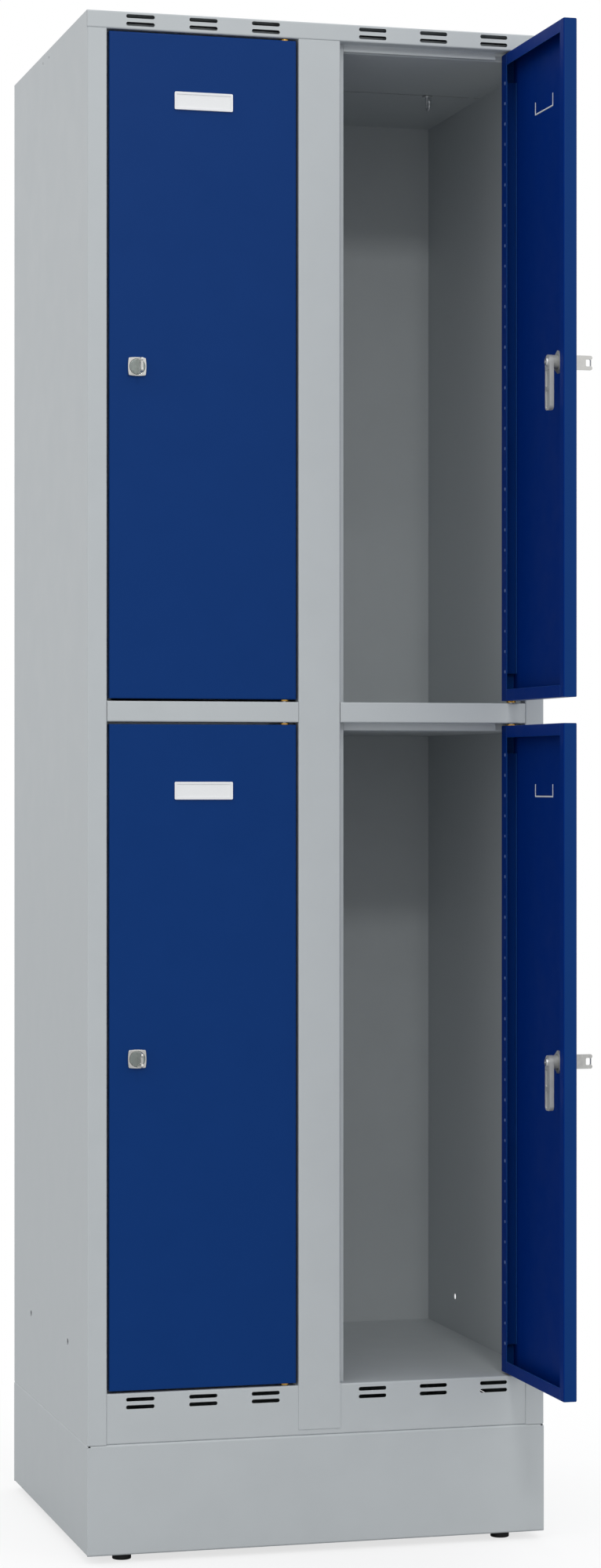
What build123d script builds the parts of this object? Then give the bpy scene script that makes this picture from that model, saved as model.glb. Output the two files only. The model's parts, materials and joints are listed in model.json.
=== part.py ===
"""School locker: two columns of two compartments, folded sheet steel on a separate plinth.

Frame: millimetres, +Z up, the front faces -Y, the origin is on the floor at the footprint's centre.
Rest pose: the left doors are shut, the right doors stand 90 degrees open, all latches are unlocked.
"""
from build123d import *
import os

# ---- driving dimensions (mm) ----
WIDTH = 600.0
DEPTH = 500.0
FOOT_CLEAR = 10.0          # floor to the underside of the plinth
PLINTH_HEIGHT = 138.5
SHEET = 1.0                # body and door sheet
PLINTH_SHEET = 1.5
BEND = 1.5                 # radius of the middle of a folded sheet

SIDE_STILE = 25.0          # visible widths of the front frame
CENTRE_STILE = 55.0
BOTTOM_RAIL = 63.5
MID_RAIL = 26.0
TOP_RAIL = 22.0
OPENING_HEIGHT = 840.0
FRAME_DEPTH = 19.5         # front face to the back of the door stops
STOP_WIDTH = 9.0           # how far a door stop reaches into its opening
TONGUE = 7.5               # rail left uncovered under the centre stile
RAIL_LAP = 35.0            # depth of a rail's upper fold
REAR_FLANGE = 15.0

DOOR_GAP = 3.0
DOOR_DEPTH = 17.2
DOOR_BEND = 2.0            # outer radius of a door's folded edge
DOOR_LIP = 15.0            # return folds inside the door: free, upper and lower edges
HINGE_LIP = 19.5           # the same along the hinge edge
LIP_SEAM = 0.4             # gap where two return folds meet
DOOR_OPEN = 90.0           # rest angle of the right doors
PIVOT_IN = 16.5            # hinge axis to the edge of the opening
PIVOT_BACK = 9.0           # hinge axis behind the front face
STOP_NOTCH = 18.0          # stops end this far short of the hinge axis

SLOT_LENGTH = 36.5         # ventilation slots
SLOT_HEIGHT = 4.9
SLOT_PITCH = 81.0
SLOT_ROW = 9.65
TOP_SLOT_DROP = 5.7        # first row below the roof
SILL_SLOT_DROP = 8.0       # first row below the lower openings

CEILING_DROP = 10.0        # ceiling pan below the top of its opening
PAN_FRONT = 22.0           # front face to the front edge of the shelves and the floor
CEILING_FRONT = 26.5       # ceiling pans stay behind the swing of the doors' hinge edges
CEILING_FOLD = 22.0
HOOK_SPREAD = 150.0        # between the two hooks of an upper compartment
HOOK_BACK = 267.0          # hooks behind the front face
HOOK_SLOT_BACK = 262.0
HOOK_SLOT_WIDTH = 5.5
HOOK_WIRE_R = 1.8
HOOK_STEM = 14.0           # ceiling to the start of the hook's bend
HOOK_BEND_R = 5.5
HOOK_TIP_R = 2.8
HOOK_PLATE = (7.0, 1.5)    # radius and thickness

PIN_R = 3.0
PIN_REACH = 8.0            # pin beyond the rail's face
PIN_HEAD = 1.5
PIN_HEAD_R = 5.0
BUSH_BORE_R = 3.05
BUSH_R = 4.5
BUSH_FLANGE_R = 6.0
BUSH_FLANGE = 2.2

LOCK_IN = 38.0             # lock axis to the edge of the opening
LOCK_HEIGHT = 415.0        # lock axis above the door's lower edge
LOCK_REACH = 32.0          # the grip's two lobes stand out this far
LOBE_R = 2.6
ROSETTE = 22.0             # corner to corner along a side
ROSETTE_BULGE_R = 66.0
DIAL_R = 9.7
BARREL_R = 9.0
SPINDLE_R = 5.0
SPINDLE_SQUARE = 7.0
LEVER_LENGTH = 60.0
LEVER_WIDTH = 17.5
LEVER_THICK = 6.0
LEVER_RIM = 2.5            # raised border round the lever's two pockets
LEVER_POCKET = 1.0
LEVER_RIB = 33.0           # axis to the middle of the cross rib
LEVER_HUB_R = 8.5
NUT_ACROSS = 25.0          # across the flats
NUT_BACK = 13.8            # door face to the back of the nut
WASHER_R = 13.5
COLLAR_R = 11.5
EYE_OUT = 26.5             # centre of the padlock hole from the door's face
EYE_SIZE = (6.0, 8.8)
EYE_CORNER = 1.5
GRIP_HALF = (1.25, 9.0)    # half the grip's thickness and height

LABEL = (75.0, 22.3)
LABEL_DROP = 83.4          # label centre below the door's upper edge
STIFFENER_WEB = 8.5        # hinge edge to the middle of the stiffener's web
STIFFENER_FLANGE = 18.0    # hinge edge to the end of its flange under the return fold
STIFFENER_FOOT = 13.0      # hinge edge to the end of its foot on the skin
STIFFENER_END = 35.5       # door's end to the stiffener's end
FOOT_IN = 50.0             # foot centre from the side
FOOT_BACK = 30.0           # foot centre from the front or the back
JOIN_HOLE_R = 4.0          # holes for bolting lockers side by side
JOIN_HOLE_SPREAD = 250.0
JOIN_HOLE_Z = 260.0
TOP_HOLE_R = 1.7           # two small holes under the roof
CEILING_HOLE_R = 1.5

# ---- worked out from those ----
FRONT = -DEPTH / 2
BACK = DEPTH / 2
HALF = WIDTH / 2
BODY_FLOOR = FOOT_CLEAR + PLINTH_HEIGHT
SILL = BODY_FLOOR + BOTTOM_RAIL
LOWER_TOP = SILL + OPENING_HEIGHT
UPPER_SILL = LOWER_TOP + MID_RAIL
UPPER_TOP = UPPER_SILL + OPENING_HEIGHT
ROOF = UPPER_TOP + TOP_RAIL
OPENING_WIDTH = (WIDTH - 2 * SIDE_STILE - CENTRE_STILE) / 2
DOOR_WIDTH = OPENING_WIDTH - 2 * DOOR_GAP
DOOR_HEIGHT = OPENING_HEIGHT - 2 * DOOR_GAP
STOP_FACE = FRONT + FRAME_DEPTH - SHEET
STOP_BACK = FRONT + FRAME_DEPTH
PIVOT_Y = FRONT + PIVOT_BACK
INNER_BACK = BACK - 2 * SHEET
PAN_Y = FRONT + PAN_FRONT
OPENING_LEFT = {"left": -HALF + SIDE_STILE, "right": CENTRE_STILE / 2}
PIVOT_X = {side: x + OPENING_WIDTH - PIVOT_IN for side, x in OPENING_LEFT.items()}
COMPARTMENT = {"left": (-HALF + SHEET, -SHEET / 2), "right": (SHEET / 2, HALF - SHEET)}
LEVELS = {"lower": (SILL, LOWER_TOP), "upper": (UPPER_SILL, UPPER_TOP)}

# door frame: x from the hinge axis, free edge at -x, y = 0 on the axis, z from the lower edge
FREE_EDGE = PIVOT_IN - DOOR_GAP - DOOR_WIDTH
HINGE_EDGE = PIVOT_IN - DOOR_GAP
FACE = -PIVOT_BACK
INNER = FACE + DOOR_DEPTH
LOCK_X = PIVOT_IN - OPENING_WIDTH + LOCK_IN
DOOR_MID = (FREE_EDGE + HINGE_EDGE) / 2
LABEL_Z = DOOR_HEIGHT - LABEL_DROP
LEVER_Y = FACE + FRAME_DEPTH + 1.0          # lever's front face, 1 mm behind the stops


# ---- shared shapes ----
def block(x0, x1, y0, y1, z0, z1):
    """A box between two opposite corners."""
    return Pos((x0 + x1) / 2, (y0 + y1) / 2, (z0 + z1) / 2) * Box(x1 - x0, y1 - y0, z1 - z0)


def rod(radius, start, end, axis="Z", at=(0, 0)):
    """A cylinder along an axis; at gives the other two coordinates in X, Y, Z order."""
    middle = (start + end) / 2
    shape = Cylinder(radius, end - start)
    if axis == "X":
        return Pos(middle, at[0], at[1]) * Rot(0, 90, 0) * shape
    if axis == "Y":
        return Pos(at[0], middle, at[1]) * Rot(90, 0, 0) * shape
    return Pos(at[0], at[1], middle) * shape


def folded_upright(points, z0, z1, sheet=SHEET, bend=BEND):
    """Sheet folded about vertical lines; points (x, y) follow the middle of the sheet."""
    outline = trace(FilletPolyline(*points, radius=bend), line_width=sheet)
    return Pos(0, 0, z0) * extrude(outline, z1 - z0)


def folded_across(points, x0, x1, sheet=SHEET, bend=BEND):
    """Sheet folded about lines along X; points (y, z) follow the middle of the sheet."""
    outline = trace(FilletPolyline(*points, radius=bend), line_width=sheet)
    return extrude(Plane.YZ.offset(x0) * outline, x1 - x0)


def slot_cut(x, z, length, height, y0, y1):
    """A slot with round ends, cut along Y."""
    flat = extrude(Plane.XZ * SlotOverall(length, height), (y1 - y0) / 2, both=True)
    return Pos(x, (y0 + y1) / 2, z) * flat


def vent_rows(top_row):
    """Two rows of three slots over each column, through the front sheet."""
    cuts = []
    for left in OPENING_LEFT.values():
        for step in (-1, 0, 1):
            for row in (0, 1):
                x = left + OPENING_WIDTH / 2 + step * SLOT_PITCH
                cuts.append(slot_cut(x, top_row - row * SLOT_ROW, SLOT_LENGTH, SLOT_HEIGHT,
                                     FRONT - 1, FRONT + 4))
    return cuts


def stop_ends(z):
    """What is cut from a stop that hangs below a rail: the corners and the room for the hinges."""
    cuts = []
    for side, left in OPENING_LEFT.items():
        end = PIVOT_X[side] - STOP_NOTCH
        for x0, x1 in ((left - 1, left + STOP_WIDTH + 0.3), (end, left + OPENING_WIDTH)):
            cuts.append(block(x0, x1, STOP_FACE - 1.2, STOP_BACK + 0.5, z - 12, z + 1.3))
    return cuts


def pin_holes(z):
    """Holes for the hinge pins through a rail's fold at height z."""
    return [rod(PIN_R, z - 2, z + 2, at=(x, PIVOT_Y)) for x in PIVOT_X.values()]


# ---- carcass ----
def side_panel(side):
    """Side wall with its front stile and rear flange; the left one carries the door stop."""
    mid = HALF - SHEET / 2
    face = FRONT + SHEET / 2
    edge = HALF - SIDE_STILE + SHEET / 2
    rear = BACK - SHEET / 2
    points = [(-mid + REAR_FLANGE, rear), (-mid, rear), (-mid, face), (-edge, face)]
    if side == "left":
        points += [(-edge, STOP_BACK - SHEET / 2), (-edge + STOP_WIDTH + SHEET / 2, STOP_BACK - SHEET / 2)]
    else:
        points += [(-edge, STOP_BACK)]
    panel = folded_upright(points, BODY_FLOOR, ROOF - SHEET)
    panel -= block(-HALF - 1, -HALF + 60, FRONT - 1, FRONT + BEND + SHEET, UPPER_TOP, ROOF)
    panel -= block(-HALF + SHEET, -HALF + 60, FRONT, FRONT + 40, UPPER_TOP, ROOF)
    panel -= block(-HALF + SIDE_STILE, -HALF + 60, FRONT, FRONT + 40, BODY_FLOOR, SILL)
    for y in (-JOIN_HOLE_SPREAD / 2, JOIN_HOLE_SPREAD / 2):
        panel -= rod(JOIN_HOLE_R, -HALF - 2, -HALF + 3, "X", (y, JOIN_HOLE_Z))
    for y in (0, 40):
        panel -= rod(TOP_HOLE_R, -HALF - 2, -HALF + 3, "X", (y, ROOF - 10.5))
    return panel if side == "left" else mirror(panel, Plane.YZ)


def roof_panel():
    """Roof, top rail with its slots, and the door stops of the upper openings."""
    face = FRONT + SHEET / 2
    points = [(STOP_BACK - SHEET / 2, UPPER_TOP - STOP_WIDTH), (STOP_BACK - SHEET / 2, UPPER_TOP + SHEET / 2),
              (face, UPPER_TOP + SHEET / 2), (face, ROOF - SHEET / 2),
              (BACK - SHEET / 2, ROOF - SHEET / 2), (BACK - SHEET / 2, ROOF - REAR_FLANGE)]
    panel = folded_across(points, -HALF, HALF)
    panel -= stop_ends(UPPER_TOP) + vent_rows(ROOF - TOP_SLOT_DROP) + pin_holes(UPPER_TOP)
    for side in (-1, 1):
        inner = HALF - SHEET
        wall = block(-1, 1, FRONT + SHEET, BACK, UPPER_TOP - 12, ROOF - SHEET)
        panel -= Pos(side * (inner + 1), 0, 0) * wall
        flange = HALF - REAR_FLANGE / 2
        panel -= Pos(side * flange, 0, 0) * block(-8.5, 8.5, BACK - 3, BACK, UPPER_TOP, ROOF - SHEET)
    middle = CENTRE_STILE / 2
    panel -= block(-middle, middle, FRONT + 12, STOP_BACK + 1, UPPER_TOP - 12, UPPER_TOP + 2)
    for side in (-1, 1):
        x = side * (HALF - SIDE_STILE / 2)
        panel -= Pos(x, 0, 0) * block(-12.5, 12.5, FRONT + 12, STOP_BACK + 1, UPPER_TOP - 12, UPPER_TOP + 2)
    return panel


def centre_stile():
    """Front post between the columns; its right fold is the door stop of the right column."""
    edge = (CENTRE_STILE - SHEET) / 2
    face = FRONT + SHEET / 2
    points = [(-edge, FRONT + 20), (-edge, face), (edge, face), (edge, STOP_BACK - SHEET / 2),
              (edge + STOP_WIDTH + SHEET / 2, STOP_BACK - SHEET / 2)]
    post = folded_upright(points, SILL, UPPER_TOP)
    middle = CENTRE_STILE / 2
    return post + block(-middle, middle, FRONT, FRONT + SHEET, BODY_FLOOR + TONGUE, SILL + 1)


def centre_partition():
    """Wall between the columns, with a fold that closes the back of the centre post."""
    edge = (CENTRE_STILE - SHEET) / 2
    wall = folded_upright([(0, BACK - 2 * SHEET), (0, FRONT + 20.5), (-edge, FRONT + 20.5)],
                          SILL - SHEET, ROOF - SHEET)
    wall -= block(-HALF, 10, FRONT, FRONT + RAIL_LAP + 0.2, SILL - SHEET, SILL)
    wall -= block(-HALF, 10, FRONT, FRONT + 25, UPPER_TOP, ROOF)
    return wall


def back_panel():
    """Plain rear wall inside the side panels' rear flanges."""
    edge = HALF - SHEET - BEND
    return block(-edge, edge, BACK - 2 * SHEET, BACK - SHEET, BODY_FLOOR, ROOF - SHEET - BEND)


def bottom_rail():
    """Slotted rail under the lower openings, one sheet behind the stiles."""
    face = FRONT + 1.5 * SHEET
    points = [(FRONT + RAIL_LAP, SILL - SHEET / 2), (face, SILL - SHEET / 2),
              (face, BODY_FLOOR + SHEET / 2), (FRONT + 18, BODY_FLOOR + SHEET / 2)]
    edge = HALF - SIDE_STILE
    rail = folded_across(points, -edge, edge)
    return rail - vent_rows(SILL - SILL_SLOT_DROP) - pin_holes(SILL - SHEET / 2)


def mid_rails():
    """The two cross rails between the lower and the upper openings."""
    face = FRONT + SHEET / 2
    points = [(FRONT + RAIL_LAP, UPPER_SILL - SHEET / 2), (face, UPPER_SILL - SHEET / 2),
              (face, LOWER_TOP + SHEET / 2), (STOP_BACK - SHEET / 2, LOWER_TOP + SHEET / 2),
              (STOP_BACK - SHEET / 2, LOWER_TOP - STOP_WIDTH)]
    rails = []
    for left in OPENING_LEFT.values():
        rail = folded_across(points, left + 0.2, left + OPENING_WIDTH - 0.2)
        rail -= stop_ends(LOWER_TOP) + pin_holes(UPPER_SILL - SHEET / 2) + pin_holes(LOWER_TOP + SHEET / 2)
        rail -= block(left, left + STOP_WIDTH + 0.3, STOP_FACE - 0.3, FRONT + 40, LOWER_TOP - 12, UPPER_SILL)
        rails.append(rail)
    return rails


def floor_panel():
    """Floor of the lower compartments, tucked under the bottom rail's fold."""
    return folded_across([(PAN_Y, SILL - 1.5 * SHEET), (INNER_BACK - SHEET / 2, SILL - 1.5 * SHEET),
                          (INNER_BACK - SHEET / 2, SILL - REAR_FLANGE)], -HALF + SHEET, HALF - SHEET)


def shelves():
    """Floors of the upper compartments, tucked under the mid rails' folds."""
    level = UPPER_SILL - 1.5 * SHEET
    points = [(PAN_Y, level), (INNER_BACK - SHEET / 2, level), (INNER_BACK - SHEET / 2, level - REAR_FLANGE)]
    return [folded_across(points, x0, x1) for x0, x1 in COMPARTMENT.values()]


def ceiling(top):
    """Two pans under the rails, folded up at the front, each with a slot for hooks."""
    level = top - CEILING_DROP + SHEET / 2
    front = FRONT + CEILING_FRONT
    pans = []
    for x0, x1 in COMPARTMENT.values():
        pan = folded_across([(front, level + CEILING_FOLD), (front, level), (INNER_BACK, level)], x0, x1)
        middle = (x0 + x1) / 2
        y = FRONT + HOOK_SLOT_BACK
        slots = [(middle, x1 - x0 - 34)]
        slots += [(middle + side * ((x1 - x0) / 2 - 5), 8) for side in (-1, 1)]
        for x, length in slots:
            pan -= Pos(x, y, level) * Box(length, HOOK_SLOT_WIDTH, 3)
        for step in (0, 25):
            pan -= rod(CEILING_HOLE_R, level - 2, level + 2, at=(x1 - 9, FRONT + 190 - step))
        pans.append(pan)
    return pans


def coat_hooks():
    """Two wire hooks under the ceiling of each upper compartment, each on a small plate."""
    hooks = []
    under = UPPER_TOP - CEILING_DROP
    y = FRONT + HOOK_BACK
    tip_y = y - 2 * HOOK_BEND_R
    low = under - HOOK_STEM
    for x0, x1 in COMPARTMENT.values():
        for side in (-1, 1):
            x = (x0 + x1) / 2 + side * HOOK_SPREAD / 2
            hook = rod(HOOK_PLATE[0], under - HOOK_PLATE[1], under, at=(x, y))
            hook += rod(HOOK_WIRE_R, low, under - HOOK_PLATE[1] / 2, at=(x, y))
            ring = Torus(HOOK_BEND_R, HOOK_WIRE_R) & Pos(0, -10, 0) * Box(40, 20, 40)
            hook += Pos(x, y - HOOK_BEND_R, low) * Rot(0, 90, 0) * Rot(0, 0, 90) * ring
            hook += rod(HOOK_WIRE_R, low, low + 5, at=(x, tip_y))
            hooks.append(hook + Pos(x, tip_y, low + 5) * Sphere(HOOK_TIP_R))
    return hooks


def hinge_pins():
    """Eight headed pins fixed in the rails, pointing into the doors' bushes."""
    pins = []
    for side, x in PIVOT_X.items():
        for sill, top in LEVELS.values():
            at = (x, PIVOT_Y)
            lower_head = rod(PIN_HEAD_R, sill - SHEET - PIN_HEAD, sill - SHEET, at=at)
            upper_head = rod(PIN_HEAD_R, top + SHEET, top + SHEET + PIN_HEAD, at=at)
            pins.append(rod(PIN_R, sill - SHEET - PIN_HEAD, sill + PIN_REACH, at=at) + lower_head)
            pins.append(rod(PIN_R, top - PIN_REACH, top + SHEET + PIN_HEAD, at=at) + upper_head)
    return pins


# ---- plinth ----
def plinth_front():
    """Front plate of the plinth, folded back at the top and the bottom."""
    return plinth_plate(FRONT, 1)


def plinth_back():
    """Rear plate of the plinth."""
    return plinth_plate(BACK, -1)


def plinth_plate(outer, inward):
    """A full-width plate with upper and lower folds that reach inward along Y."""
    half = PLINTH_SHEET / 2
    low = FOOT_CLEAR + half
    high = BODY_FLOOR - half
    y = outer + inward * half
    fold = outer + inward * 22
    points = [(fold, low), (y, low), (y, high), (fold, high)]
    plate = folded_across(points, -HALF, HALF, PLINTH_SHEET, 2)
    inner = HALF - PLINTH_SHEET
    for side in (-1, 1):
        middle = outer + inward * (PLINTH_SHEET + 12)
        plate -= Pos(side * (inner + 1), middle, 0) * block(-1, 1, -12, 12, FOOT_CLEAR - 1, BODY_FLOOR + 1)
        plate -= Pos(side * (inner - 0.5), outer, 0) * block(-2, 2, -3, 3, BODY_FLOOR - 2.6, BODY_FLOOR + 1)
    return plate


def plinth_side(side):
    """Side plate of the plinth, between the front and rear plates, folded inward."""
    half = PLINTH_SHEET / 2
    low = FOOT_CLEAR + half
    high = BODY_FLOOR - half
    points = [(-HALF + 20, low), (-HALF + half, low), (-HALF + half, high), (-HALF + 20, high)]
    outline = trace(FilletPolyline(*points, radius=2), line_width=PLINTH_SHEET)
    plate = extrude(Plane.XZ.offset(-BACK + PLINTH_SHEET) * outline, DEPTH - 2 * PLINTH_SHEET)
    for end in (-1, 1):
        middle = end * (BACK - 11)
        plate -= Pos(0, middle, 0) * block(-HALF + PLINTH_SHEET, -HALF + 24, -11.2, 11.2,
                                           FOOT_CLEAR - 1, ROOF)
    return plate if side == "left" else mirror(plate, Plane.YZ)


def foot_points():
    """Centres of the four feet."""
    return [(sx * (HALF - FOOT_IN), sy * (BACK - FOOT_BACK)) for sx in (-1, 1) for sy in (-1, 1)]


def foot_plates():
    """Threaded plates that carry the feet, across the plinth's lower folds."""
    plates = []
    for x, y in foot_points():
        sx = 1 if x > 0 else -1
        sy = 1 if y > 0 else -1
        plate = Pos(sx * (HALF - 41), sy * (BACK - 32), FOOT_CLEAR + PLINTH_SHEET + 1.5) * Box(74, 54, 3)
        plate += rod(9, FOOT_CLEAR + 4.5, FOOT_CLEAR + 12, at=(x, y))
        plates.append(plate - rod(5, FOOT_CLEAR - 5, FOOT_CLEAR + 20, at=(x, y)))
    return plates


def levelling_feet():
    """Four feet: a round pad, a hexagon under the plate and a stud through it."""
    feet = []
    for x, y in foot_points():
        foot = rod(12, 0, 6, at=(x, y))
        foot = fillet(foot.edges().filter_by(GeomType.CIRCLE), 0.8)
        foot += rod(5, 5, 42, at=(x, y))
        hexagon = extrude(RegularPolygon(8.5, 6), 4)
        foot += Pos(x, y, 6) * hexagon
        feet.append(foot)
    return feet


# ---- doors, in the door's own frame ----
def door_panel():
    """Folded tray: skin, four edges, and a return fold inside each edge."""
    tray = block(FREE_EDGE, HINGE_EDGE, FACE, INNER, 0, DOOR_HEIGHT)
    front = tray.faces().sort_by(Axis.Y)[0]
    back_free = tray.edges().filter_by(Axis.Z).sort_by(Axis.X)[:2].sort_by(Axis.Y)[-1]
    tray = fillet(front.edges() + ShapeList([back_free]), DOOR_BEND)
    hollow = block(FREE_EDGE + SHEET, HINGE_EDGE - SHEET, FACE + SHEET, INNER - SHEET,
                   SHEET, DOOR_HEIGHT - SHEET)
    hollow = fillet(hollow.faces().sort_by(Axis.Y)[0].edges(), DOOR_BEND - SHEET)
    tray -= hollow
    left = FREE_EDGE + DOOR_LIP
    right = HINGE_EDGE - HINGE_LIP
    top = DOOR_HEIGHT - DOOR_LIP
    tray -= block(left, right, INNER - 2 * SHEET, INNER + 1, DOOR_LIP, top)
    for x in (left, right - LIP_SEAM):
        for z0, z1 in ((SHEET, DOOR_LIP + 1), (top - 1, DOOR_HEIGHT - SHEET)):
            tray -= block(x, x + LIP_SEAM, INNER - 1.5 * SHEET, INNER + 1, z0, z1)
    for end in (0, DOOR_HEIGHT):
        tray -= rod(BUSH_R, end - 3, end + 3)
    tray -= rod(BARREL_R, FACE - 1, FACE + 3, "Y", (LOCK_X, LOCK_HEIGHT))
    return tray - label_slit(2.2)


def label_slit(width):
    """U-shaped slit behind the label: a floor and two upright prongs."""
    half = LABEL[0] / 2 - 3
    low = LABEL_Z - 8.5
    cuts = block(DOOR_MID - half, DOOR_MID + half, FACE - 0.1, FACE + SHEET + 0.1, low, low + width)
    for side in (-1, 1):
        x = DOOR_MID + side * (half - width / 2)
        cuts += block(x - width / 2, x + width / 2, FACE - 0.1, FACE + SHEET + 0.1, low, low + 17)
    return cuts


def door_stiffener():
    """Channel under the hinge edge's return fold, its foot on the skin."""
    web = HINGE_EDGE - STIFFENER_WEB
    under_fold = INNER - 1.5 * SHEET - 0.02
    skin = FACE + 1.5 * SHEET + 0.02
    points = [(HINGE_EDGE - STIFFENER_FLANGE, under_fold), (web, under_fold), (web, skin),
              (HINGE_EDGE - STIFFENER_FOOT, skin)]
    return folded_upright(points, STIFFENER_END, DOOR_HEIGHT - STIFFENER_END)


def hinge_bushes():
    """Flanged bushes pressed into the door's upper and lower edges."""
    bushes = []
    for edge, out in ((0, -1), (DOOR_HEIGHT, 1)):
        inner = edge - out * 5
        flange = edge + out * BUSH_FLANGE
        bush = rod(BUSH_R, min(edge, inner), max(edge, inner))
        bush += rod(BUSH_FLANGE_R, min(edge, flange), max(edge, flange))
        bushes.append(bush - rod(BUSH_BORE_R, edge - 10, edge + 10))
    return bushes


def label_frame():
    """Label holder on the skin, with a rib that clips into the slit."""
    w, h = LABEL
    at = Pos(DOOR_MID, 0, LABEL_Z)
    frame = at * block(-w / 2, w / 2, FACE - 2.4, FACE, -h / 2, h / 2)
    frame = fillet(frame.edges().filter_by(Axis.Y), 1.5)
    frame -= at * block(-w / 2 + 3, w / 2 - 3, FACE - 3, FACE - 1.6, -h / 2 + 3, h / 2 - 3)
    frame -= at * block(-w / 2 + 1.5, w / 2 - 1.5, FACE - 1.6, FACE - 0.8, -h / 2 + 1.5, h / 2 - 1.5)
    rib = slit_rib()
    return frame + rib


def slit_rib():
    """The clip rib: the slit's own outline, a little thinner."""
    half = LABEL[0] / 2 - 3 - 0.3
    low = LABEL_Z - 8.5 + 0.3
    rib = block(DOOR_MID - half, DOOR_MID + half, FACE - 0.2, FACE + SHEET + 0.4, low, low + 1.6)
    for side in (-1, 1):
        x = DOOR_MID + side * (half - 0.8)
        rib += block(x - 0.8, x + 0.8, FACE - 0.2, FACE + SHEET + 0.4, low, low + 16.4)
    return rib


def label_card():
    """Blank card inside the label holder."""
    w, h = LABEL
    return Pos(DOOR_MID, 0, LABEL_Z) * block(-w / 2 + 1.8, w / 2 - 1.8, FACE - 1.5, FACE - 0.9,
                                             -h / 2 + 1.8, h / 2 - 1.8)


def grip_plate():
    """Upright plate with a padlock hole and two lobes at its outer corners."""
    thick, high = GRIP_HALF
    lobe_y = FACE - LOCK_REACH + LOBE_R
    plate = block(-thick, thick, lobe_y - LOBE_R / 2, FACE - 2.5, -high, high)
    plate = fillet(plate.edges().filter_by(Axis.X).sort_by(Axis.Y)[:2], 2)
    for z in (LOBE_R - high, high - LOBE_R):
        plate += rod(LOBE_R, -thick, thick, "X", (lobe_y, z))
    wide, tall = EYE_SIZE
    middle = FACE - EYE_OUT
    hole = block(-5, 5, middle - wide / 2, middle + wide / 2, -tall / 2, tall / 2)
    return plate - fillet(hole.edges().filter_by(Axis.X), EYE_CORNER)


def lock_housing():
    """Rosette with bulged sides and a barrel through the door."""
    half = ROSETTE / 2
    corners = [(-half, -half), (half, -half), (half, half), (-half, half)]
    sides = [RadiusArc(a, b, -ROSETTE_BULGE_R) for a, b in zip(corners, corners[1:] + corners[:1])]
    body = Pos(0, FACE, 0) * extrude(Plane.XZ * make_face(Wire(sides)), 3.2)
    body = fillet(body.edges().filter_by(Axis.Y), 1.5)
    body = fillet(body.faces().sort_by(Axis.Y)[0].edges(), 0.8)
    body -= rod(DIAL_R + 0.3, FACE - 4, FACE - 2.0, "Y")
    body += rod(BARREL_R, FACE - 1, FACE + 13, "Y")
    body -= rod(SPINDLE_R + 0.05, FACE - 5, FACE + 14, "Y")
    return Pos(LOCK_X, 0, LOCK_HEIGHT) * body


def lock_nut():
    """Collar on the skin, thin washer and hexagon nut, all round the barrel."""
    washer_y = NUT_BACK - 4.5
    nut_y = NUT_BACK - 2.7
    nut = rod(COLLAR_R, FACE + SHEET, FACE + washer_y, "Y")
    nut += rod(WASHER_R, FACE + washer_y, FACE + nut_y, "Y")
    hexagon = Plane.XZ * RegularPolygon(NUT_ACROSS / 2, 6, major_radius=False, rotation=30)
    hexagon = extrude(hexagon, -(NUT_BACK - nut_y))
    hexagon = Pos(0, FACE + nut_y - hexagon.bounding_box().min.Y, 0) * hexagon
    nut += hexagon
    nut -= rod(BARREL_R + 0.02, FACE, FACE + NUT_BACK + 1, "Y")
    return Pos(LOCK_X, 0, LOCK_HEIGHT) * nut


def lock_knob():
    """Dial, upright grip with its padlock eye, and spindle."""
    knob = grip_plate()
    dial = rod(DIAL_R, FACE - 3.4, FACE - 2.2, "Y")
    dial = fillet(dial.faces().sort_by(Axis.Y)[0].edges(), 0.4)
    dial -= Pos(-4.8, FACE - 3.4, 0) * Box(1.2, 0.8, 6)
    knob += dial + rod(SPINDLE_R, FACE - 2.5, FACE + 13.4, "Y")
    half = SPINDLE_SQUARE / 2
    knob += block(-half, half, FACE + 13.4, LEVER_Y + LEVER_THICK - 0.2, -half, half)
    knob -= rod(2.5, LEVER_Y - 4, LEVER_Y + LEVER_THICK + 1, "Y")
    return Pos(LOCK_X, 0, LOCK_HEIGHT) * knob


def lock_lever():
    """Cast locking lever with two pockets; it hangs straight down when unlocked."""
    half = LEVER_WIDTH / 2
    y0 = LEVER_Y
    y1 = LEVER_Y + LEVER_THICK
    arm = block(-half, half, y0, y1, -LEVER_LENGTH, 0)
    tip = arm.edges().filter_by(Axis.Y).sort_by(Axis.Z)[:2]
    arm = fillet(tip, 6)
    arm += rod(half, y0, y1, "Y")
    side = half - LEVER_RIM
    inner = (-LEVER_RIB + LEVER_RIM, -half - 1)
    outer = (-LEVER_LENGTH + LEVER_RIM, -LEVER_RIB - LEVER_RIM)
    for z0, z1 in (inner, outer):
        pocket = block(-side, side, y1 - LEVER_POCKET, y1 + 1, z0, z1)
        arm -= fillet(pocket.edges().filter_by(Axis.Y), 2.5)
    arm = fillet(arm.faces().sort_by(Axis.Y)[0].outer_wire().edges(), 0.6)
    arm += rod(LEVER_HUB_R, FACE + 13.5, y0 + 1, "Y")
    square = SPINDLE_SQUARE / 2 + 0.02
    arm -= block(-square, square, FACE + 12, y1 - 0.1, -square, square)
    arm -= rod(2.8, y0 - 4, y1 + 2, "Y")
    return Pos(LOCK_X, 0, LOCK_HEIGHT) * arm


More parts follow.
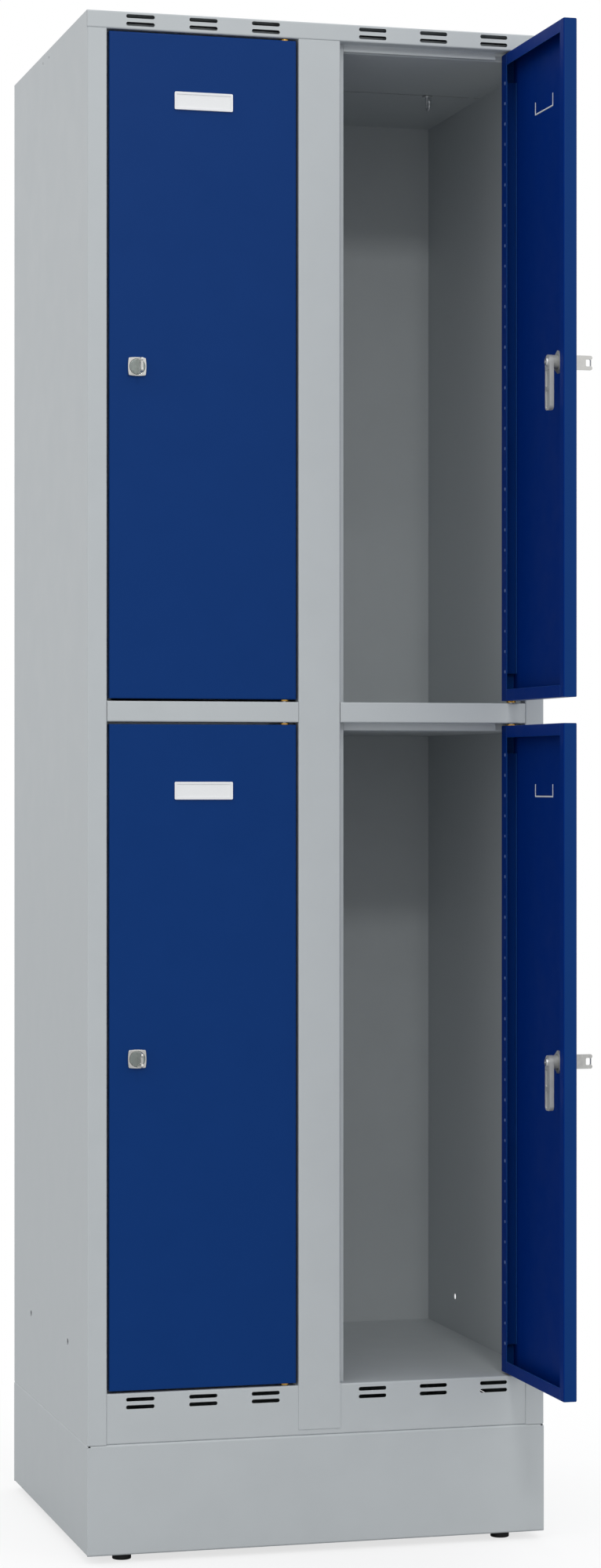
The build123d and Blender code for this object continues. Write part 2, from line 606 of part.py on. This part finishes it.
def lever_screw():
    """Pan-head screw that holds the lever on the spindle."""
    y1 = LEVER_Y + LEVER_THICK
    head = rod(5, y1, y1 + 2.6, "Y")
    head = fillet(head.faces().sort_by(Axis.Y)[-1].edges(), 1.2)
    for turn in (0, 90):
        head -= Rot(0, turn, 0) * Pos(0, y1 + 2.6, 0) * Box(5, 2.4, 1.1)
    screw = head + rod(2.48, LEVER_Y - 3.5, y1 + 0.1, "Y")
    return Pos(LOCK_X, 0, LOCK_HEIGHT) * screw


# ---- write one STEP per node ----
CARCASS = {
    "side_panel_left": lambda: side_panel("left"),
    "side_panel_right": lambda: side_panel("right"),
    "centre_stile": centre_stile,
    "centre_partition": centre_partition,
    "back_panel": back_panel,
    "roof_panel": roof_panel,
    "floor_panel": floor_panel,
    "bottom_rail": bottom_rail,
    "mid_rails": mid_rails,
    "shelves": shelves,
    "ceiling_upper": lambda: ceiling(UPPER_TOP),
    "ceiling_lower": lambda: ceiling(LOWER_TOP),
    "coat_hooks": coat_hooks,
    "hinge_pins": hinge_pins,
    "plinth_front": plinth_front,
    "plinth_back": plinth_back,
    "plinth_side_left": lambda: plinth_side("left"),
    "plinth_side_right": lambda: plinth_side("right"),
    "foot_plates": foot_plates,
    "levelling_feet": levelling_feet,
}
DOOR = {
    "door_panel": door_panel,
    "door_stiffener": door_stiffener,
    "hinge_bushes": hinge_bushes,
    "label_frame": label_frame,
    "label_card": label_card,
    "lock_housing": lock_housing,
    "lock_nut": lock_nut,
    "lock_knob": lock_knob,
    "lock_lever": lock_lever,
    "lever_screw": lever_screw,
}


def solids_of(made):
    """All separate solids of what a function returned."""
    shapes = made if isinstance(made, list) else [made]
    return [solid for shape in shapes for solid in shape.solids()]


def save(name, solids):
    """One STEP file per node, a lone solid or a group of separate ones."""
    shape = solids[0] if len(solids) == 1 else Compound(children=solids)
    shape.label = name
    export_step(shape, f"parts/{name}.step")


def door_place(column, level):
    """Where a door's own frame stands at rest."""
    turn = 0 if column == "left" else DOOR_OPEN
    return Location((PIVOT_X[column], PIVOT_Y, LEVELS[level][0] + DOOR_GAP), (0, 0, turn))


def main():
    os.makedirs("parts", exist_ok=True)
    for name, make in CARCASS.items():
        save(name, solids_of(make()))
    for name, make in DOOR.items():
        solids = solids_of(make())
        for column in OPENING_LEFT:
            for level in LEVELS:
                place = door_place(column, level)
                save(f"{name}_{level}_{column}", [solid.moved(place) for solid in solids])


main()
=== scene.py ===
# %% [markdown]
# A steel school locker: two columns of two compartments on a separate plinth, with blue doors.
# The shape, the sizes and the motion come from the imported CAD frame. This script gives the frame
# its looks: rounded paint edges, powder coat, cast zinc locks, slot rims, and the studio around it.

# %% Load the frame
import json
import math

import bmesh
import bpy
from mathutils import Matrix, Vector

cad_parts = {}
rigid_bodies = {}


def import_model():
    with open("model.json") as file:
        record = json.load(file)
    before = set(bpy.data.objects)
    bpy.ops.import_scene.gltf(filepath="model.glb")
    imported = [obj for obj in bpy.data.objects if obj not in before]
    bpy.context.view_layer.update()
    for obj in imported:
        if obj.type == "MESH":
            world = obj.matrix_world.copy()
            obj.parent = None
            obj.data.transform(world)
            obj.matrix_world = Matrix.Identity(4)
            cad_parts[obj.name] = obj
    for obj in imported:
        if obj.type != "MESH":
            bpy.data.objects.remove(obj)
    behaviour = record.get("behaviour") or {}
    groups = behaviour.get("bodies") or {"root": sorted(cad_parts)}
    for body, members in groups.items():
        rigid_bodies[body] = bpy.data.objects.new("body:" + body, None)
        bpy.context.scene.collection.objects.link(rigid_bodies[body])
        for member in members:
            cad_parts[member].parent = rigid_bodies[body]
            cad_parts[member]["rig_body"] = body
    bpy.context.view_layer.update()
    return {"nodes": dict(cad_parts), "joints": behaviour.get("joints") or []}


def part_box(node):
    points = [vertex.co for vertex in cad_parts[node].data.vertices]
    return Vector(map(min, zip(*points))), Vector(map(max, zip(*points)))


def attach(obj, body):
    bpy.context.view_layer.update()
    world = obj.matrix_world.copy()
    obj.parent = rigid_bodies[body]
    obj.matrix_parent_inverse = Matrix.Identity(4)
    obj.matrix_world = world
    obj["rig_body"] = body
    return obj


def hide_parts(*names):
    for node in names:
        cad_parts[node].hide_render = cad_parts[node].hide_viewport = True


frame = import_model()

MM = 0.001
scene = bpy.context.scene
joints = {joint["child"]: joint for joint in frame["joints"]}

# %% [markdown]
# Colours are easiest to think of as the sRGB values that a paint chart or a screen shows, but
# the renderer works with linear light. One function turns the first into the second. Another adds
# any node to any tree: settings go on the node itself, and each entry of `inputs` is either a
# plain value or another node's output to link. A third starts an empty material.


# %% Helpers: colour, nodes and an empty material
def linear(hex_code):
    """sRGB hex text to a linear RGBA colour."""
    channels = [int(hex_code[i:i + 2], 16) / 255 for i in (0, 2, 4)]
    bent = [c / 12.92 if c <= 0.04045 else ((c + 0.055) / 1.055) ** 2.4 for c in channels]
    return (*bent, 1.0)


def add(tree, kind, inputs=None, **settings):
    """Add a node; inputs maps a socket's name or number to a value or to an output socket."""
    node = tree.nodes.new(kind)
    for key, value in settings.items():
        setattr(node, key, value)
    for key, value in (inputs or {}).items():
        socket = node.inputs[key]
        if isinstance(value, bpy.types.NodeSocket):
            tree.links.new(value, socket)
        else:
            socket.default_value = value
    return node


def bare_material(name):
    """An empty node material: the material, its tree, and the place on the piece in metres."""
    material = bpy.data.materials.new(name)
    material.use_nodes = True
    tree = material.node_tree
    tree.nodes.clear()
    return material, tree, add(tree, "ShaderNodeTexCoord").outputs["Object"]


LIGHT_GREY = "C1C6C8"
print("light grey as linear:", [round(c, 3) for c in linear(LIGHT_GREY)])

# %% [markdown]
# Powder coat is paint that was sprayed as dust and melted in an oven. The melt never lies quite
# flat: it keeps a fine "orange peel", and the thin sheet under it bulges by a hair between its
# folds. Both are heights, so both go into bump. Hands and dust change the gloss a little, so a
# broad noise moves the roughness. The scale of each noise is one over its real size in metres.


# %% Powder coat
PEEL_SIZE = 2.2 * MM       # real peel is about 1 mm, drawn coarser so that it shows
SHEET_WAVE = 260 * MM
HANDLING = 45 * MM


def powder_coat(name, tint, rough=0.42, wave=0.35, gleam=0.4):
    """Baked powder paint on folded sheet: satin, finely pebbled, never perfectly flat."""
    material, tree, place = bare_material(name)
    patches = add(tree, "ShaderNodeTexNoise", {"Vector": place, "Scale": 1 / HANDLING, "Detail": 4.0})
    peel = add(tree, "ShaderNodeTexNoise", {"Vector": place, "Scale": 1 / PEEL_SIZE, "Detail": 2.0})
    bulge = add(tree, "ShaderNodeTexNoise", {"Vector": place, "Scale": 1 / SHEET_WAVE, "Detail": 1.0})
    shade = add(tree, "ShaderNodeMix", {"Factor": patches.outputs["Fac"]}, data_type="RGBA")
    shade.inputs[6].default_value = [c * 0.965 for c in linear(tint)[:3]] + [1]
    shade.inputs[7].default_value = [min(1, c * 1.03) for c in linear(tint)[:3]] + [1]
    gloss = add(tree, "ShaderNodeMapRange",
                {"Value": patches.outputs["Fac"], "From Min": 0.3, "From Max": 0.7,
                 "To Min": rough - 0.05, "To Max": rough + 0.06})
    fine = add(tree, "ShaderNodeBump", {"Height": peel.outputs["Fac"], "Strength": 0.35,
                                        "Distance": 0.06 * MM})
    broad = add(tree, "ShaderNodeBump", {"Height": bulge.outputs["Fac"], "Strength": wave,
                                         "Distance": 2.0 * MM, "Normal": fine.outputs["Normal"]})
    coat = add(tree, "ShaderNodeBsdfPrincipled",
               {"Base Color": shade.outputs[2], "Roughness": gloss.outputs["Result"],
                "Normal": broad.outputs["Normal"], "Specular IOR Level": gleam})
    add(tree, "ShaderNodeOutputMaterial", {"Surface": coat.outputs["BSDF"]})
    return material


body_coat = powder_coat("light_grey_powder_coat_on_folded_steel", LIGHT_GREY)
# Painted highlight: a lighter copy of the grey for the bevel strips along every edge.
edge_highlight_coat = powder_coat("light_grey_powder_coat_with_painted_edge_highlight", "DCE0E1", rough=0.34, wave=0.0)
door_coat = powder_coat("gentian_blue_powder_coat_on_folded_steel", "023576", rough=0.36, gleam=0.12)
# Painted highlight: a lighter copy of the blue for the doors' bevel strips and the stiffener's cut edges.
door_edge_highlight = powder_coat("gentian_blue_powder_coat_with_painted_edge_highlight", "1A4C94", rough=0.32, wave=0.0, gleam=0.2)
# Painted shade: a darker, duller copy of the door blue for the faces that look into the locker.
inner_shade_coat = powder_coat("gentian_blue_powder_coat_painted_shade_inside", "012A78", rough=0.42, gleam=0.03)
# Painted shade: a darker copy of the door blue for the stiffener, which lies in the door's hinge-side
# recess.
recess_shade_coat = powder_coat("gentian_blue_powder_coat_painted_recess_shade", "022C6E", rough=0.4, gleam=0.06)
# Painted highlight: a pale blue on the spot-weld domes, on top of the real light the domes catch.
weld_highlight_coat = powder_coat("pale_powder_coat_painted_highlight_on_spot_welds", "6F86B4", rough=0.3, wave=0.0)
print("coats:", body_coat.name, door_coat.name)

# %% [markdown]
# The locks are zinc, cast in a steel die and then nickel plated or left as they are. Cast metal
# has a soft grain instead of a direction, and its gloss wanders. The bushes are turned brass, the
# lock washer is yellow passivated steel, and hooks, pins and screws are bright zinc plated. All
# share one recipe: a metal whose colour, grain size and roughness are given. The levers carry a
# thin haze of oxide, so they are only partly metallic.


# %% Metals
def metal(name, tint, rough, grain, relief, tarnish=0.85, bare=1.0):
    """Bare or plated metal; grain is the size of its surface texture in metres."""
    material, tree, place = bare_material(name)
    cast = add(tree, "ShaderNodeTexNoise", {"Vector": place, "Scale": 1 / grain, "Detail": 5.0})
    cloud = add(tree, "ShaderNodeTexNoise", {"Vector": place, "Scale": 1 / (12 * grain), "Detail": 3.0})
    shade = add(tree, "ShaderNodeMix", {"Factor": cloud.outputs["Fac"]}, data_type="RGBA")
    shade.inputs[6].default_value = [c * tarnish for c in linear(tint)[:3]] + [1]
    shade.inputs[7].default_value = linear(tint)
    gloss = add(tree, "ShaderNodeMapRange",
                {"Value": cloud.outputs["Fac"], "From Min": 0.3, "From Max": 0.7,
                 "To Min": rough - 0.07, "To Max": rough + 0.09})
    bump = add(tree, "ShaderNodeBump", {"Height": cast.outputs["Fac"], "Strength": 0.4,
                                        "Distance": relief})
    skin = add(tree, "ShaderNodeBsdfPrincipled",
               {"Base Color": shade.outputs[2], "Roughness": gloss.outputs["Result"],
                "Normal": bump.outputs["Normal"], "Metallic": bare})
    add(tree, "ShaderNodeOutputMaterial", {"Surface": skin.outputs["BSDF"]})
    return material


nickel = metal("zinc_die_casting_nickel_plated", "E4E3DF", 0.2, 0.6 * MM, 0.04 * MM)   # soft shine
dial_nickel = metal("zinc_die_casting_satin_nickel", "A4ACA9", 0.3, 0.5 * MM, 0.03 * MM, 0.8)    # greyer
raw_zinc = metal("zinc_die_casting_as_cast", "CFD0CE", 0.5, 0.9 * MM, 0.08 * MM, 0.8, 0.6)  # oxide haze
plated_wire = metal("steel_wire_bright_zinc_plated", "F0F1F2", 0.32, 0.5 * MM, 0.02 * MM)  # bright
passivated = metal("steel_yellow_passivated", "C9A45C", 0.34, 0.7 * MM, 0.03 * MM)      # golden cast
brass = metal("brass_turned", "D0A250", 0.28, 0.4 * MM, 0.02 * MM)                      # warm glint
print("metals:", nickel.name, raw_zinc.name, brass.name)

# %% [markdown]
# Three small pieces are not metal. The label holder is moulded plastic with a faint spark-eroded
# texture, the blank card behind it is paper with fibres, and the feet are black glass-filled nylon.


# %% Plastics and card
def dull_solid(name, tint, rough, grain, relief, spread):
    """Moulded plastic or card: one colour that drifts a little, with a fine surface texture."""
    material, tree, place = bare_material(name)
    texture = add(tree, "ShaderNodeTexNoise", {"Vector": place, "Scale": 1 / grain, "Detail": 3.0})
    shade = add(tree, "ShaderNodeMix", {"Factor": texture.outputs["Fac"]}, data_type="RGBA")
    shade.inputs[6].default_value = [c * (1 - spread) for c in linear(tint)[:3]] + [1]
    shade.inputs[7].default_value = linear(tint)
    bump = add(tree, "ShaderNodeBump", {"Height": texture.outputs["Fac"], "Strength": 0.4,
                                        "Distance": relief})
    skin = add(tree, "ShaderNodeBsdfPrincipled",
               {"Base Color": shade.outputs[2], "Roughness": rough, "Normal": bump.outputs["Normal"]})
    add(tree, "ShaderNodeOutputMaterial", {"Surface": skin.outputs["BSDF"]})
    return material


holder_plastic = dull_solid("white_polystyrene_moulded", "F4F5F6", 0.38, 0.8 * MM, 0.02 * MM, 0.03)
blank_card = dull_solid("card_uncoated", "F8F9F9", 0.75, 1.2 * MM, 0.03 * MM, 0.06)   # fibrous, no shine
foot_nylon = dull_solid("black_nylon_moulded", "17181A", 0.5, 1.0 * MM, 0.05 * MM, 0.25)
print("others:", holder_plastic.name, blank_card.name, foot_nylon.name)

# %% [markdown]
# A CAD edge is perfectly sharp, and no real edge is: paint rounds it off, so it catches a thin
# line of light. Each visible CAD node is copied, its loose triangles are joined, and a Bevel
# modifier rounds the edges. The strips that the bevel makes take a second coat. On the grey
# and blue sheet that coat is a lighter copy of the paint: a painted highlight. The copy then stands for
# its CAD node.

# %% Which finish goes on which node
DOORS = [f"{level}_{column}" for level in ("lower", "upper") for column in ("left", "right")]
FINISH = {
    "door_panel": ("door_blue", door_coat, door_edge_highlight, 0.25),
    # The stiffener's main coat is the darker blue of painted recess shade.
    "door_stiffener": ("door_blue", recess_shade_coat, door_edge_highlight, 0.25),
    "hinge_bushes": ("bush_brass", brass, brass, 0.2),
    "label_frame": ("label_plastic", holder_plastic, holder_plastic, 0.25),
    "label_card": ("label_card", blank_card, blank_card, 0.1),
    "lock_housing": ("lock_zinc", nickel, nickel, 0.3),
    "lock_knob": ("lock_zinc", dial_nickel, nickel, 0.35),
    "lock_lever": ("lever_zinc", raw_zinc, nickel, 0.5),
    "lock_nut": ("nut_steel", raw_zinc, raw_zinc, 0.3),
    "lever_screw": ("nut_steel", plated_wire, plated_wire, 0.2),
    "coat_hooks": ("hook_steel", plated_wire, plated_wire, 0.2),
    "hinge_pins": ("nut_steel", plated_wire, plated_wire, 0.2),
    "levelling_feet": ("foot_plastic", foot_nylon, foot_nylon, 0.3),
}
# The grey's edge coat is a lighter copy of the grey: a painted highlight on the bevel strips.
GREY_FINISH = ("body_grey", body_coat, edge_highlight_coat, 0.22)


def finish_of(node):
    """Slot, main material, edge material and edge radius in millimetres for a CAD node."""
    for stem, finish in FINISH.items():
        if node == stem or node.startswith(stem + "_lower") or node.startswith(stem + "_upper"):
            return finish
    if node.startswith("plinth"):
        return ("plinth_grey",) + GREY_FINISH[1:]
    return GREY_FINISH


print("finish of the left plinth side:", finish_of("plinth_side_left")[0])


# %% [markdown]
# Some pieces are finished in two ways. The lock washer under the nut is yellow passivated. The
# grip of the knob is polished by fingers while its dial stays greyer. The faces of a door that
# look into the locker take a darker, duller copy of its coat, which is painted shade. The stiffener's cut
# edges take the lighter edge coat, a painted highlight. All of that is told by depth: how far a face
# lies from the hinge axis, measured out of the door, and how far towards the free edge.

# %% Finishes that change along one piece
WASHER = (0.64, 0.795)       # where the washer lies between the door's skin and the back of the nut
GRIP_DEPTH = 12.7 * MM       # hinge axis to where the grip leaves the dial
WEB_REACH = -2.0 * MM        # nearer to the hinge edge than this is the stiffener's web


def plain_mesh(obj):
    """Apply what the modifiers do, so that the piece is a plain mesh."""
    evaluated = obj.evaluated_get(bpy.context.evaluated_depsgraph_get())
    mesh = bpy.data.meshes.new_from_object(evaluated)
    obj.modifiers.clear()
    obj.data = mesh
    return obj


def door_ways(node):
    """A door's hinge axis, the way out of its front, and the way to its free edge."""
    door = "_".join(node.split("_")[-2:])
    pivot = Vector(joints["door_" + door]["pos_m"])
    if door.endswith("left"):
        return pivot, Vector((0, -1, 0)), Vector((-1, 0, 0))
    return pivot, Vector((1, 0, 0)), Vector((0, -1, 0))


def gild_washer(piece, node):
    """Give the thin washer under the lock's hexagon its yellow passivated finish."""
    low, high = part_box(node)
    axis = min((0, 1), key=lambda i: high[i] - low[i])
    depth = high[axis] - low[axis]
    piece.data.materials.append(passivated)
    for polygon in piece.data.polygons:
        from_skin = (polygon.center[axis] - low[axis]) / depth
        if axis == 0:
            from_skin = 1 - from_skin
        if WASHER[0] < from_skin < WASHER[1]:
            polygon.material_index = 2


def polish_grip(piece, node):
    """Bright nickel on everything that stands out from the dial."""
    pivot, out, _ = door_ways(node)
    for polygon in piece.data.polygons:
        if (polygon.center - pivot).dot(out) > GRIP_DEPTH:
            polygon.material_index = 1


INSIDE_TURN = -0.5           # a face turned this far from the way out looks into the locker
EDGE_TURN = 0.9              # a face turned this squarely to the free edge is a cut edge


def shade_inside(piece, node):
    """Darker, duller copy of the door coat on the faces that look into the locker: painted shade."""
    _, out, _ = door_ways(node)
    piece.data.materials.append(inner_shade_coat)
    for polygon in piece.data.polygons:
        if polygon.material_index == 0 and polygon.normal.dot(out) < INSIDE_TURN:
            polygon.material_index = 2


def highlight_cut_edges(piece, node):
    """Pale coat on the stiffener's cut edges: a painted highlight."""
    pivot, _, free = door_ways(node)
    for polygon in piece.data.polygons:
        reach = (polygon.center - pivot).dot(free)
        if polygon.normal.dot(free) > EDGE_TURN and reach > WEB_REACH:
            polygon.material_index = 1


SECOND_FINISH = {"lock_nut": gild_washer, "lock_knob": polish_grip, "door_panel": shade_inside,
                 "door_stiffener": highlight_cut_edges}
print("pieces with a second finish:", len(SECOND_FINISH), "kinds")


# %% Round the edges of every node
WELD_DISTANCE = 0.001 * MM    # points closer than this are one point
FLAT = math.radians(0.4)      # faces that meet flatter than this are one face
CORNER = math.radians(40)     # edges sharper than this are rounded
EDGE_STEPS = 2


def rounded_copy(node, name):
    """A copy of a CAD node with joined faces, rounded edges and smooth shading."""
    slot, main, edge, radius = finish_of(node)
    source = frame["nodes"][node]
    mesh = source.data.copy()
    mesh.materials.clear()
    mesh.materials.append(main)
    mesh.materials.append(edge)
    shape = bmesh.new()
    shape.from_mesh(mesh)
    bmesh.ops.remove_doubles(shape, verts=shape.verts, dist=WELD_DISTANCE)
    bmesh.ops.dissolve_limit(shape, angle_limit=FLAT, verts=shape.verts, edges=shape.edges)
    for face in shape.faces:
        face.material_index = 0
        face.smooth = True
    shape.to_mesh(mesh)
    shape.free()
    piece = bpy.data.objects.new(name, mesh)
    scene.collection.objects.link(piece)
    bevel = piece.modifiers.new("paint edge", "BEVEL")
    bevel.width = radius * MM
    bevel.segments = EDGE_STEPS
    bevel.limit_method = "ANGLE"
    bevel.angle_limit = CORNER
    bevel.harden_normals = True
    # The bevel strips take slot 1, the edge coat. On the painted sheet that coat is a painted highlight.
    bevel.material = 1
    bevel.miter_outer = "MITER_ARC"
    even = piece.modifiers.new("flat faces stay flat", "WEIGHTED_NORMAL")
    even.mode = "FACE_AREA"
    even.keep_sharp = True
    plain_mesh(piece)
    for stem, dress in SECOND_FINISH.items():
        if node.startswith(stem):
            dress(piece, node)
    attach(piece, source["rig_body"])
    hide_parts(node)
    return piece


triangles = 0
for node in sorted(frame["nodes"]):
    piece = rounded_copy(node, node + "_finished")
    piece.data.calc_loop_triangles()
    triangles += len(piece.data.loop_triangles)
print("finished nodes:", len(frame["nodes"]), "triangles:", triangles)

# %% [markdown]
# The stiffener is spot welded to the door's return fold: two copper electrodes pinch the sheets
# every 26 mm, the current melts a nugget, and a low button is left. It is coated a pale blue that is a
# painted highlight. Nobody would model each one by hand, so Geometry Nodes lays a row of buttons
# from one end of the stiffener to the other, each a little different.

# %% Spot welds, one row per door
WELDS = 30                    # buttons in one door's row
WELD_SEED = 7
WELD_SIZES = {"Min": 0.85, "Max": 1.12}
WELD_R = 2.1 * MM
WELD_HEIGHT = 0.45 * MM
FOLD_FACE = 8.2 * MM          # hinge axis to the outer face of the return fold


def weld_row_tree():
    """Node tree: a line of low domes with named inputs."""
    tree = bpy.data.node_groups.new("row of spot welds", "GeometryNodeTree")
    for name, kind in (("First", "NodeSocketVector"), ("Step", "NodeSocketVector"),
                       ("Count", "NodeSocketInt"), ("Dome", "NodeSocketVector"),
                       ("Finish", "NodeSocketMaterial")):
        tree.interface.new_socket(name=name, in_out="INPUT", socket_type=kind)
    tree.interface.new_socket(name="Geometry", in_out="OUTPUT", socket_type="NodeSocketGeometry")
    given = add(tree, "NodeGroupInput").outputs
    line = add(tree, "GeometryNodeMeshLine",
               {"Count": given["Count"], "Start Location": given["First"], "Offset": given["Step"]})
    ball = add(tree, "GeometryNodeMeshUVSphere", {"Segments": 16, "Rings": 8, "Radius": 1.0})
    dome = add(tree, "GeometryNodeTransform", {"Geometry": ball.outputs["Mesh"], "Scale": given["Dome"]})
    size = add(tree, "FunctionNodeRandomValue", {"Seed": WELD_SEED}, data_type="FLOAT")
    for socket in size.inputs:
        if socket.type == "VALUE" and socket.name in WELD_SIZES:
            socket.default_value = WELD_SIZES[socket.name]
    placed = add(tree, "GeometryNodeInstanceOnPoints",
                 {"Points": line.outputs["Mesh"], "Instance": dome.outputs["Geometry"],
                  "Scale": [o for o in size.outputs if o.type == "VALUE" and o.enabled][0]})
    real = add(tree, "GeometryNodeRealizeInstances", {"Geometry": placed.outputs["Instances"]})
    smooth = add(tree, "GeometryNodeSetShadeSmooth", {"Geometry": real.outputs["Geometry"]})
    dressed = add(tree, "GeometryNodeSetMaterial",
                  {"Geometry": smooth.outputs["Geometry"], "Material": given["Finish"]})
    add(tree, "NodeGroupOutput", {"Geometry": dressed.outputs["Geometry"]})
    return tree


weld_tree = weld_row_tree()
for door in DOORS:
    low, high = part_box("door_stiffener_" + door)
    pivot, out, _ = door_ways("door_stiffener_" + door)
    first = Vector((pivot.x, pivot.y, low.z + WELD_R)) - out * FOLD_FACE
    dome = Vector((WELD_R, WELD_R, WELD_R)) - Vector([abs(c) for c in out]) * (WELD_R - WELD_HEIGHT)
    row = bpy.data.objects.new("spot_welds_" + door, bpy.data.meshes.new("weld_row"))
    scene.collection.objects.link(row)
    maker = row.modifiers.new("welds", "NODES")
    maker.node_group = weld_tree
    pitch = (high.z - low.z - 2 * WELD_R) / (WELDS - 1)
    values = {"First": first, "Step": Vector((0, 0, pitch)), "Dome": dome, "Finish": weld_highlight_coat,
              "Count": WELDS}
    for item in weld_tree.interface.items_tree:
        if item.in_out == "INPUT":
            maker[item.identifier] = values[item.name]
    plain_mesh(row)
    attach(row, "door_" + door)
print("spot welds per door:", WELDS, "pitch:", round(pitch / MM, 2), "mm")

# %% [markdown]
# The camera stands a little to the left of the locker, at the height of its middle, and looks
# level, so that upright edges stay upright.

# %% The camera
CAMERA_PLACE = (-1.188, -4.554, 0.974)
CAMERA_TURN = math.radians(-15.12)     # about the vertical; the lens is held level
camera_data = bpy.data.cameras.new("studio camera")
camera_data.sensor_width = 36
camera_data.lens = 80.8
camera = bpy.data.objects.new("studio camera", camera_data)
camera.location = CAMERA_PLACE
camera.rotation_euler = (math.radians(90), 0, CAMERA_TURN)
scene.collection.objects.link(camera)
scene.camera = camera
print("camera:", tuple(round(c, 3) for c in camera.location))

# %% [markdown]
# The floor is a sheet of pale paper that melts into the white room with distance. It is drawn
# white, but what bounces off it on to the locker is a mid grey: a wholly white floor would fill
# the shadows under the shelves and lift every lower surface.

# %% The floor
FLOOR_HALF = 60.0                      # far beyond the horizon that any view shows
PAPER_BOUNCE = (0.5, 0.505, 0.51, 1)
FADE_START = 0.35
FADE_END = 1.1
GLOW_UNDER = 0.72                      # share of plain white right under the locker
floor_paper = dull_solid("studio_paper_floor", "F6F6F6", 0.8, 40 * MM, 0.1 * MM, 0.01)
tree = floor_paper.node_tree
place = add(tree, "ShaderNodeTexCoord").outputs["Object"]
away = add(tree, "ShaderNodeVectorMath", {0: place}, operation="LENGTH").outputs["Value"]
fade = add(tree, "ShaderNodeMapRange", {"Value": away, "From Min": FADE_START, "From Max": FADE_END,
                                        "To Min": GLOW_UNDER, "To Max": 1.0},
           interpolation_type="SMOOTHSTEP")
glow = add(tree, "ShaderNodeEmission", {"Color": (1, 1, 1, 1), "Strength": 1.0})
paper = next(n for n in tree.nodes if n.type == "BSDF_PRINCIPLED")
seen = add(tree, "ShaderNodeMixShader",
           {0: fade.outputs["Result"], 1: paper.outputs[0], 2: glow.outputs[0]})
bounce = add(tree, "ShaderNodeBsdfDiffuse", {"Color": PAPER_BOUNCE})
ray = add(tree, "ShaderNodeLightPath")
blend = add(tree, "ShaderNodeMixShader",
            {0: ray.outputs["Is Camera Ray"], 1: bounce.outputs[0], 2: seen.outputs[0]})
surface = next(n for n in tree.nodes if n.type == "OUTPUT_MATERIAL").inputs["Surface"]
tree.links.new(blend.outputs[0], surface)
floor_mesh = bpy.data.meshes.new("studio_floor")
corners = [(x * FLOOR_HALF, y * FLOOR_HALF, 0) for x, y in ((-1, -1), (1, -1), (1, 1), (-1, 1))]
floor_mesh.from_pydata(corners, [], [(0, 1, 2, 3)])
floor_mesh.materials.append(floor_paper)
floor = bpy.data.objects.new("studio_floor", floor_mesh)
scene.collection.objects.link(floor)
print("floor:", 2 * FLOOR_HALF, "m wide")

# %% [markdown]
# Soft studio light: a white room lights the locker from all sides, more from above than from the
# horizon, so the compartments, which see only a little of it, stay dark. The camera sees the room
# as plain white. Two panels in front add the soft steps of light on the rear walls.


# %% The light
PANEL_SIZE = (0.6, 0.4)
CHEST = (0, 0, 1.2)                    # what the panels are turned to
ROOM_TINT = (0.985, 0.99, 1, 1)
ROOM_LOW = 0.61                        # strength a little below the horizon
ROOM_HIGH = 1.14                       # strength overhead


def light_panel(name, position, power):
    """A rectangular soft light that faces the middle of the locker."""
    data = bpy.data.lights.new(name, "AREA")
    data.shape = "RECTANGLE"
    data.size, data.size_y = PANEL_SIZE
    data.energy = power
    lamp = bpy.data.objects.new(name, data)
    lamp.location = position
    lamp.rotation_euler = (Vector(CHEST) - Vector(position)).to_track_quat("-Z", "Y").to_euler()
    scene.collection.objects.link(lamp)


light_panel("front panel, low", (-0.3, -5.0, 3.6), 26)
light_panel("front panel, high", (-0.2, -3.2, 5.4), 13)

world = bpy.data.worlds.new("white room")
world.use_nodes = True
scene.world = world
room = world.node_tree
room.nodes.clear()
ray = add(room, "ShaderNodeLightPath")
seen = add(room, "ShaderNodeBackground", {"Color": (1, 1, 1, 1), "Strength": 1.0})
way = add(room, "ShaderNodeSeparateXYZ", {0: add(room, "ShaderNodeTexCoord").outputs["Generated"]})
sky = add(room, "ShaderNodeMapRange", {"Value": way.outputs["Z"], "From Min": -0.3, "From Max": 0.75,
                                       "To Min": ROOM_LOW, "To Max": ROOM_HIGH})
felt = add(room, "ShaderNodeBackground", {"Color": ROOM_TINT, "Strength": sky.outputs["Result"]})
both = add(room, "ShaderNodeMixShader",
           {0: ray.outputs["Is Camera Ray"], 1: felt.outputs[0], 2: seen.outputs[0]})
add(room, "ShaderNodeOutputWorld", {"Surface": both.outputs[0]})
scene.view_settings.view_transform = "Standard"
